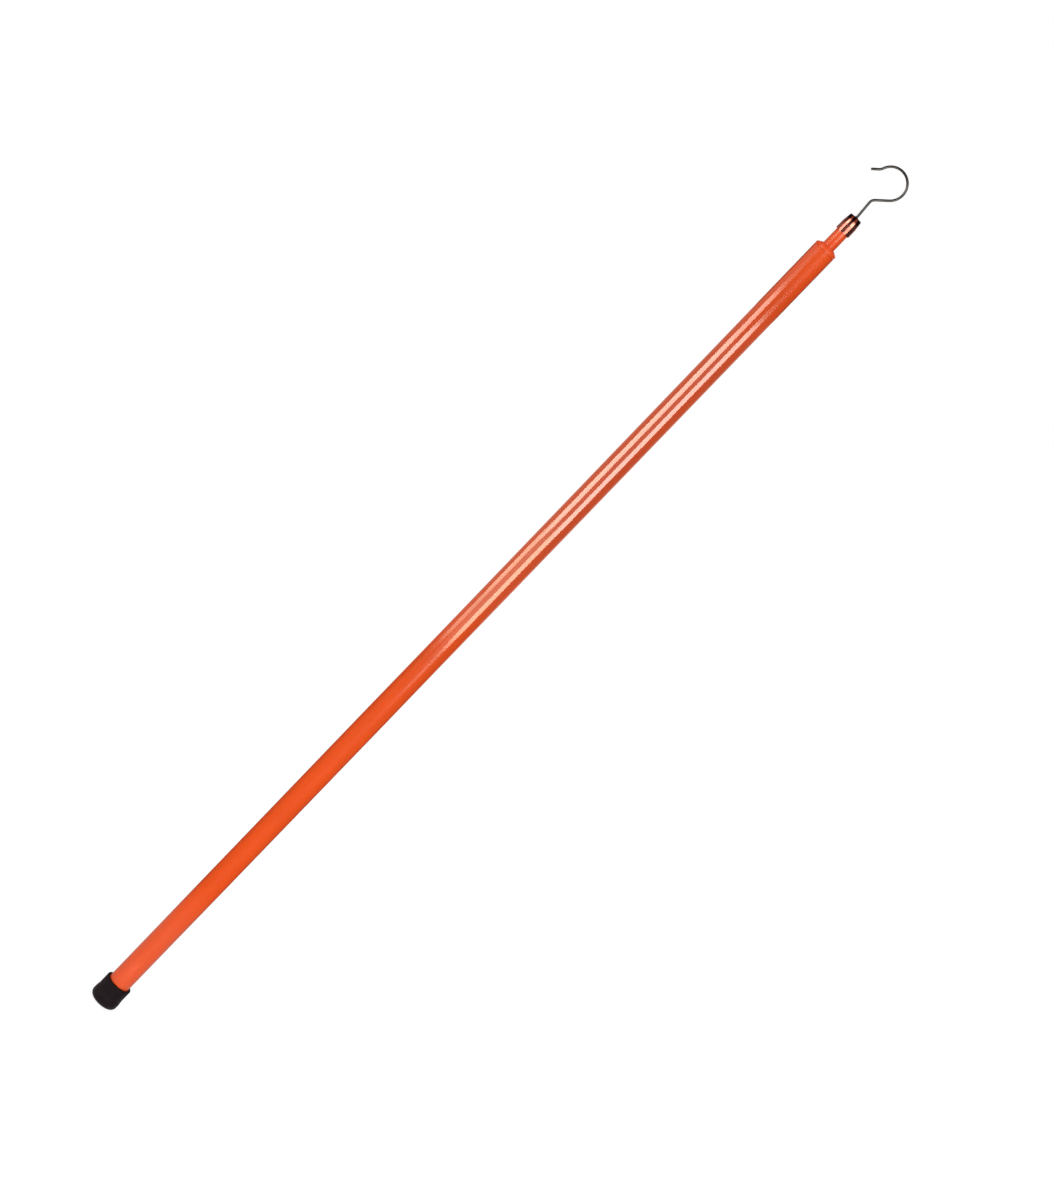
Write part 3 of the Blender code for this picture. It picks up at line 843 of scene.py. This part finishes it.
def add_rubber_foot(sizes, foot, material):
    """A moulded cup with a thick rounded base and a grooved sole."""
    node = "rubber_foot_cap"
    base, bottom, top = cylinder_of(node)
    bore = radius_of("base_tube") + sizes.seat_gap
    rim = bore + foot.wall
    groove = foot.pad_radius + foot.groove_width
    edge = sizes.small_edge
    outline = [
        (0.0, bottom + foot.floor),
        (bore, bottom + foot.floor, 2 * edge),
        (bore, top, 2 * sizes.fine_edge),
        (rim, top, foot.rim_edge),
        (rim, bottom + foot.bead_height + foot.bead_blend, foot.bead_edge),
        (base, bottom + foot.bead_height, foot.bead_edge),
        (base, bottom, foot.base_edge),
        (groove, bottom, edge),
        (groove, bottom + foot.groove_depth, edge),
        (foot.pad_radius, bottom + foot.groove_depth, edge),
        (foot.pad_radius, bottom, edge),
        (0.0, bottom),
    ]
    add_piece("moulded_foot", turned(outline, sizes.turn_steps, 6), material, "base", "foot_rubber", node)


def add_base_plug(sizes, foot, material):
    """A cup moulded open downwards, which closes the base tube."""
    node = "base_plug"
    outer, bottom, top = cylinder_of(node)
    inner = outer - foot.plug_wall
    outline = [
        (0.0, top),
        (outer, top, sizes.plug_edge),
        (outer, bottom, sizes.plug_edge / 2),
        (inner, bottom, sizes.plug_edge / 4),
        (inner, top - foot.plug_wall, sizes.plug_edge),
        (0.0, top - foot.plug_wall),
    ]
    add_piece("closing_plug", turned(outline, sizes.turn_steps), material, "base", "plug_nylon", node)


class POLE_OT_dress_foot(bpy.types.Operator):
    """Mould the rubber foot, and the plug and bumper inside the base tube"""

    bl_idname = "pole.dress_foot"
    bl_label = "Foot"

    def execute(self, context):
        sizes = context.scene.pole_tubes
        foot = context.scene.pole_foot
        finish = context.scene.pole_finish
        rubber = black_rubber("foot_rubber", finish.rubber)
        add_rubber_foot(sizes, foot, rubber)
        bumper = hollow("base_bumper", foot.bumper_bore, (sizes.plug_edge / 2,) * 4, sizes.turn_steps)
        add_piece("landing_bumper", bumper, rubber, "base", "foot_rubber", "base_bumper")
        add_base_plug(sizes, foot, moulded_nylon("base_plug_nylon", finish.nylon))
        return {"FINISHED"}


# Tip


def shank_hole(sizes, tip):
    return tip.hook_radius + sizes.seat_gap


def add_ferrule(sizes, tip, material):
    """A turned cap with a tapered nose and a low boss round the hook's shank."""
    node = "tip_ferrule"
    outer, bottom, top = cylinder_of(node)
    bore = outer - tip.ferrule_wall
    hole = shank_hole(sizes, tip)
    shoulder = top - tip.boss_height
    seat = bottom + tip.ferrule_insert + sizes.seat_gap
    edge = sizes.fine_edge
    outline = [
        (hole, top, edge),
        (tip.boss_radius, top, edge),
        (tip.boss_radius, shoulder),
        (tip.ferrule_top_radius, shoulder, tip.ferrule_edge),
        (outer, shoulder - tip.ferrule_taper, 4 * edge),
        (outer, bottom, 2 * edge),
        (bore, bottom, edge),
        (bore, seat),
        (hole, seat),
    ]
    form = turned(outline, sizes.turn_steps)
    add_piece("turned_ferrule", form, material, "section_5", "ferrule_copper", node)


def add_hook(tip, material):
    """The hook, bent from one wire: shank, leg, bowl and the turned-out tip."""
    start = bottom_of("line_hook")
    bend_axis = Vector((0.0, -1.0, 0.0))
    wire = Wire((0.0, 0.0, start), AXIS, tip.hook_radius, tip.hook_sides)
    wire.run(top_of("tip_ferrule") + tip.neck - start)
    wire.bend(tip.lean_bend, tip.lean, bend_axis)
    wire.run(tip.shank_run)
    wire.bend(tip.leg_bend, -tip.leg_turn, bend_axis)
    leg_end = tip.bowl_offset + tip.bowl_radius * wire.heading.z
    wire.run((leg_end - wire.place.x) / wire.heading.x)
    wire.bend(tip.bowl_radius, tip.bowl_sweep, bend_axis)
    wire.bend(tip.tip_bend, -tip.tip_turn, bend_axis)
    wire.run(tip.tip_length - tip.hook_radius)
    add_piece("bent_hook", wire.close(), material, "section_5", "hook_steel", "line_hook")


def spindle(bottom, top, end_radius, radius, slope, steps):
    """A round bar whose ends change to another radius over a slope."""
    outline = [
        (0.0, top),
        (end_radius, top),
        (radius, top - slope),
        (radius, bottom + slope),
        (end_radius, bottom),
        (0.0, bottom),
    ]
    return turned(outline, steps)


def add_nut(sizes, tip, material):
    """A hexagon with its corners turned off at both faces."""
    node = "hook_nut"
    low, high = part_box(node)
    bottom, top = low[2], high[2]
    corner = max(high[0] - low[0], high[1] - low[1]) / 2
    half_side = math.radians(30.0)
    chamfer = corner - corner * math.cos(half_side)
    middle = Matrix.Translation((0.0, 0.0, (bottom + top) / 2))
    form = bmesh.new()
    bmesh.ops.create_cone(
        form, cap_ends=True, segments=6, radius1=corner, radius2=corner, depth=top - bottom,
        matrix=middle @ Matrix.Rotation(half_side, 4, "Z"),
    )
    face = corner * math.cos(half_side) - chamfer / 2
    blank = spindle(bottom, top, face, corner + chamfer / 2, chamfer, WASHER_STEPS)
    hexagon = carve(form, [blank], "INTERSECT")
    hole = shank_hole(sizes, tip)
    edge = tip.nut_edge
    bore = spindle(bottom - edge, top + edge, hole + 2 * edge, hole, 2 * edge, SMALL_TURN_STEPS)
    add_piece("hexagon_nut", carve(hexagon, [bore]), material, "section_5", "fastener_steel", node)


class POLE_OT_dress_ferrule(bpy.types.Operator):
    """Turn the copper ferrule"""

    bl_idname = "pole.dress_ferrule"
    bl_label = "Ferrule"

    def execute(self, context):
        copper = turned_copper("ferrule_copper", context.scene.pole_finish.copper)
        add_ferrule(context.scene.pole_tubes, context.scene.pole_tip, copper)
        return {"FINISHED"}


class POLE_OT_dress_hook(bpy.types.Operator):
    """Bend the hook, and make the plug, washer and nut that hold its shank"""

    bl_idname = "pole.dress_hook"
    bl_label = "Hook"

    def execute(self, context):
        sizes = context.scene.pole_tubes
        tip = context.scene.pole_tip
        finish = context.scene.pole_finish
        add_hook(tip, polished_steel("hook_steel", finish.steel))
        hole = shank_hole(sizes, tip)
        edge = sizes.plug_edge
        plug = hollow("tip_plug", hole, (edge, edge, edge / 4, edge / 4), sizes.turn_steps)
        nylon = moulded_nylon("tip_plug_nylon", finish.nylon)
        add_piece("shank_plug", plug, nylon, "section_5", "plug_nylon", "tip_plug")
        zinc = plated_steel("fastener_steel", finish.zinc)
        washer = hollow("hook_washer", hole, (tip.nut_edge / 2,) * 4, WASHER_STEPS)
        add_piece("plain_washer", washer, zinc, "section_5", "fastener_steel", "hook_washer")
        add_nut(sizes, tip, zinc)
        return {"FINISHED"}


# Printed scale


def curved_line(radius, ink, width, reach):
    """One printed line across the front of a tube, level and centred at height 0."""
    form = bmesh.new()
    turn = reach / radius
    start = -math.pi / 2 - turn / 2
    skin = radius + ink
    corners = ((radius, -width / 2), (skin, -width / 2), (skin, width / 2), (radius, width / 2))
    verts = [form.verts.new((r * math.cos(start), r * math.sin(start), z)) for r, z in corners]
    face = form.faces.new(verts)
    geometry = [face, *face.edges, *face.verts]
    steps = max(3, math.ceil(math.degrees(turn) / LINE_STEP_DEGREES))
    bmesh.ops.spin(form, geom=geometry, cent=ORIGIN, axis=AXIS, angle=turn, steps=steps, use_duplicate=False)
    bmesh.ops.recalc_face_normals(form, faces=form.faces)
    return mesh_from("line", form)


def curved_figure(text, size, radius, ink, height):
    """A printed number, cut into upright strips and bent round the front of a tube."""
    curve = bpy.data.curves.new("figure", "FONT")
    curve.body = text
    curve.size = size / FIGURE_SHARE
    curve.align_x = "CENTER"
    curve.align_y = "CENTER"
    curve.resolution_u = 3
    curve.extrude = ink / 2
    figure = add_object("figure", curve)
    form = settled(figure)
    bpy.data.objects.remove(figure)
    bpy.data.curves.remove(curve)
    bmesh.ops.remove_doubles(form, verts=form.verts, dist=MERGE_DISTANCE)
    strip = size / FIGURE_STRIPS
    strips = math.floor(max(abs(vert.co.x) for vert in form.verts) / strip)
    for line in range(-strips, strips + 1):
        score(form, (line * strip, 0.0, 0.0), (1.0, 0.0, 0.0))
    for vert in form.verts:
        x, y, z = vert.co
        turn = x / radius
        reach = radius + ink / 2 + z
        vert.co = (reach * math.sin(turn), -reach * math.cos(turn), height + y)
    return mesh_from("figure", form)


def add_scale(index, scale, material):
    """Marks that read the height of the hook at the mouth of the tube outside."""
    name = section_name(index)
    radius = radius_of(name + "_tube")
    mouth = top_of(section_name(index - 1) + "_mouth_ring")
    drawn_before = sum(travel_of(inner) for inner in range(index + 1, SECTION_COUNT))
    closed_reading = seat_height() + drawn_before
    first = math.ceil((closed_reading + scale.step / 2) / scale.step)
    last = math.floor((closed_reading + travel_of(index)) / scale.step)
    reaches = (scale.short_line, scale.middle_line, scale.long_line)
    plain, fifth, tenth = (curved_line(radius, scale.ink, scale.line_width, reach) for reach in reaches)
    form = bmesh.new()
    for count in range(first, last + 1):
        height = mouth - (count * scale.step - closed_reading)
        before = len(form.verts)
        form.from_mesh(tenth if count % 10 == 0 else fifth if count % 5 == 0 else plain)
        form.verts.ensure_lookup_table()
        bmesh.ops.translate(form, verts=form.verts[before:], vec=(0.0, 0.0, height))
        if count % 10 == 0:
            size = scale.figure_height
            form.from_mesh(curved_figure(f"{count * scale.step:.1f}", size, radius, scale.ink, height - size))
    add_piece(name + "_printed_scale", form, material, name, "orange_glass_fibre")


class POLE_OT_print_scale(bpy.types.Operator):
    """Print the scale of heights on the sliding sections"""

    bl_idname = "pole.print_scale"
    bl_label = "Printed scale"

    def execute(self, context):
        ink = printing_ink("scale_ink", context.scene.pole_finish.ink)
        for index in range(1, SECTION_COUNT):
            add_scale(index, context.scene.pole_scale, ink)
        return {"FINISHED"}


# Studio


def add_camera(studio):
    """The camera that took the photograph, turned about its line of sight."""
    camera = bpy.data.cameras.new("photo_camera")
    camera.lens = studio.lens
    camera.clip_end = 400.0
    holder = add_object("photo_camera", camera)
    turn = (
        Matrix.Rotation(-studio.camera_yaw, 4, "Z")
        @ Matrix.Rotation(math.pi / 2 + studio.camera_pitch, 4, "X")
        @ Matrix.Rotation(studio.camera_roll, 4, "Z")
    )
    holder.matrix_world = Matrix.Translation(studio.camera_place) @ turn
    bpy.context.scene.camera = holder


def add_panel(name, distance, bearings, heights, radiance, tint=(1.0, 1.0, 1.0)):
    """An upright light panel that spans two bearings, in degrees, and two heights.

    Bearings are counted from the camera's side of the pole, positive towards +X.
    """
    middle = math.radians(sum(bearings) / 2)
    half = math.radians(bearings[1] - bearings[0]) / 2
    width = 2 * distance * math.tan(half)
    tall = heights[1] - heights[0]
    lamp = bpy.data.lights.new(name, "AREA")
    lamp.shape = "RECTANGLE"
    lamp.size = width
    lamp.size_y = tall
    lamp.energy = radiance * math.pi * width * tall
    lamp.color = tint
    holder = add_object(name, lamp)
    place = Vector((distance * math.sin(middle), -distance * math.cos(middle), sum(heights) / 2))
    inwards = Vector((-place.x, -place.y, 0.0))
    holder.matrix_world = Matrix.Translation(place) @ inwards.to_track_quat("-Z", "Y").to_matrix().to_4x4()
    holder.visible_camera = False
    return holder


def add_lights(studio):
    """Soft keys that only shed light, and strips that only show in the gloss.

    Each row of both tables holds bearings in degrees, heights, and a share of the brightness.
    """
    keys = (
        ("low_key", 0.25, (0.01, 0.88), 1.0),
        ("foot_key", 0.25, (0.01, 0.12), 0.8),
        ("top_key", 0.15, (1.58, 2.30), 0.92),
    )
    for name, distance, heights, share in keys:
        key = add_panel(name, distance, KEY_BEARINGS, heights, share * studio.key_radiance)
        key.visible_glossy = False
    cream = (1.0, 0.95, 0.84)
    peach = (1.0, 0.90, 0.74)
    honey = (1.0, 0.92, 0.66)
    strips = (
        ("right_strip", (9.5, 48.0), (0.59, 1.385), 0.96, cream),
        ("right_strip_low", (3.0, 42.0), (0.177, 0.59), 0.88, honey),
        ("right_strip_foot", (14.0, 34.0), (0.0, 0.177), 0.12, cream),
        ("left_strip", (-73.0, -29.0), (0.59, 1.31), 0.96, peach),
        ("left_strip_top", (-70.0, -29.0), (1.31, 1.487), 0.66, peach),
        ("left_strip_low", (-84.0, -42.0), (0.36, 0.59), 0.64, honey),
        ("left_strip_foot", (-80.0, -40.0), (0.177, 0.36), 0.38, honey),
        ("left_strip_head", (-56.0, -36.0), (1.487, 1.60), 0.08, peach),
        ("ferrule_left_strip", (-66.0, -34.0), (1.712, 1.76), 0.86, cream),
        ("ferrule_right_strip", (15.0, 56.0), (1.712, 1.76), 0.86, cream),
        ("ferrule_gap_strip", (-20.0, 15.0), (1.69, 1.80), 0.035, cream),
        ("nose_left_strip", (-66.0, -34.0), (1.86, 2.80), 0.40, cream),
        ("nose_right_strip", (15.0, 56.0), (1.86, 3.60), 0.40, cream),
        ("gap_strip", (-29.0, 13.0), (0.10, 1.31), 0.06, cream),
        ("gap_strip_foot", (-40.0, 4.0), (0.177, 0.59), 0.115, honey),
    )
    for name, bearings, heights, share, tint in strips:
        strip = add_panel(name, studio.strip_distance, bearings, heights, share * studio.strip_radiance, tint)
        strip.visible_diffuse = False


def add_world(studio):
    recipe = Recipe("studio_world", "worlds", "Background")
    strength = recipe.span(recipe.to_the_eye(), 0.0, 1.0, studio.sky, 1.0)
    bpy.context.scene.world = recipe.finish(Color=(1.0, 1.0, 1.0), Strength=strength)


def add_floor(studio):
    """A white floor that glows for the eye alone, so that it keeps only the pole's shadow."""
    form = bmesh.new()
    drop = Matrix.Translation((0.0, 0.0, -FLOOR_DROP))
    bmesh.ops.create_grid(form, x_segments=1, y_segments=1, size=studio.floor_size / 2, matrix=drop)
    floor = add_object("studio_floor", mesh_from("studio_floor", form))
    recipe = Recipe("white_floor")
    material = recipe.finish(Base_Color=(0.80, 0.80, 0.80), Roughness=0.9, Specular_IOR_Level=0.0)
    glow = recipe.node("ShaderNodeEmission", Strength=studio.floor_glow)
    share = recipe.sum("MULTIPLY", recipe.to_the_eye(), studio.floor_share)
    both = recipe.node("ShaderNodeMixShader", numbered={0: share, 1: recipe.shader.outputs[0], 2: glow})
    recipe.feed(recipe.tree.nodes["Material Output"].inputs["Surface"], both)
    floor.data.materials.append(material)


def add_dark_tent(studio):
    """A tent that only the gloss sees, which keeps the white surroundings out of it.

    It is dark in front of the pole, and pale to its left and behind it, where the tube's edges
    mirror it.
    """
    reach = studio.tent_radius
    inner = studio.tent_opening
    corners = [(inner, 0.0), (reach, 0.0), (reach, studio.tent_height), (inner, studio.tent_height)]
    tent = add_object("dark_tent", mesh_from("dark_tent", swept(corners, SMALL_TURN_STEPS, False)))
    recipe = Recipe("dark_cloth")
    left = recipe.sum("LESS_THAN", recipe.along("X"), -TENT_LEFT * reach)
    rear = recipe.sum("GREATER_THAN", recipe.along("Y"), TENT_REAR * reach)
    edges = recipe.sum("MAXIMUM", left, rear)
    away = recipe.node("ShaderNodeVectorMath", "Value", {"operation": "LENGTH"}, Vector=recipe.place())
    ground = recipe.blend(recipe.span(away, *TENT_GROUND), (0.50, 0.42, 0.40), (0.30, 0.07, 0.035))
    pale = (0.98, 0.66, 0.54)
    cloth = recipe.blend(edges, ground, pale)
    wall = recipe.blend(edges, (0.42, 0.30, 0.26), pale)
    head = recipe.blend(left, (0.05, 0.02, 0.01), pale)
    top = recipe.blend(rear, (0.13, 0.13, 0.13), (0.62, 0.58, 0.56))
    for seam, upper in ((TENT_HEM, wall), (studio.head_seam, head), (studio.top_seam, top)):
        cloth = recipe.blend(recipe.sum("GREATER_THAN", recipe.along("Z"), seam), cloth, upper)
    tent.data.materials.append(recipe.finish(Base_Color=cloth, Roughness=1.0, Specular_IOR_Level=0.0))
    tent.visible_camera = False
    tent.visible_diffuse = False
    tent.visible_shadow = False


class POLE_OT_set_studio(bpy.types.Operator):
    """Set up the camera, the lamps, the world, the floor and the tent"""

    bl_idname = "pole.set_studio"
    bl_label = "Studio"

    def execute(self, context):
        studio = context.scene.pole_studio
        add_camera(studio)
        add_lights(studio)
        add_world(studio)
        add_floor(studio)
        add_dark_tent(studio)
        context.scene.view_settings.view_transform = "Standard"
        return {"FINISHED"}


# Panel and registration


GROUPS = (
    ("pole_tubes", POLE_PG_tubes),
    ("pole_foot", POLE_PG_foot),
    ("pole_tip", POLE_PG_tip),
    ("pole_scale", POLE_PG_scale),
    ("pole_finish", POLE_PG_finish),
    ("pole_studio", POLE_PG_studio),
)

OPERATORS = (
    POLE_OT_set_studio,
    POLE_OT_dress_tubes,
    POLE_OT_dress_mouth_rings,
    POLE_OT_dress_locks,
    POLE_OT_dress_foot,
    POLE_OT_dress_ferrule,
    POLE_OT_dress_hook,
    POLE_OT_print_scale,
)


class POLE_PT_sidebar(bpy.types.Panel):
    """The pole's sizes, finishes and operators"""

    bl_idname = "POLE_PT_sidebar"
    bl_label = "Telescopic Measuring Pole"
    bl_space_type = "VIEW_3D"
    bl_region_type = "UI"
    bl_category = "Pole"

    def draw(self, context):
        layout = self.layout
        for operator in OPERATORS:
            layout.operator(operator.bl_idname)
        for attribute, group in GROUPS:
            box = layout.box()
            box.label(text=group.__doc__)
            for key in group.__annotations__:
                box.prop(getattr(context.scene, attribute), key)


def register():
    for _, group in GROUPS:
        bpy.utils.register_class(group)
    for attribute, group in GROUPS:
        setattr(bpy.types.Scene, attribute, PointerProperty(type=group))
    for operator in OPERATORS:
        bpy.utils.register_class(operator)
    bpy.utils.register_class(POLE_PT_sidebar)


def unregister():
    bpy.utils.unregister_class(POLE_PT_sidebar)
    for operator in reversed(OPERATORS):
        bpy.utils.unregister_class(operator)
    for attribute, group in reversed(GROUPS):
        delattr(bpy.types.Scene, attribute)
        bpy.utils.unregister_class(group)


def main():
    register()
    bpy.ops.pole.set_studio()
    bpy.ops.pole.dress_tubes()
    bpy.ops.pole.dress_mouth_rings()
    bpy.ops.pole.dress_locks()
    bpy.ops.pole.dress_foot()
    bpy.ops.pole.dress_ferrule()
    bpy.ops.pole.dress_hook()
    bpy.ops.pole.print_scale()


if __name__ == "__main__":
    main()
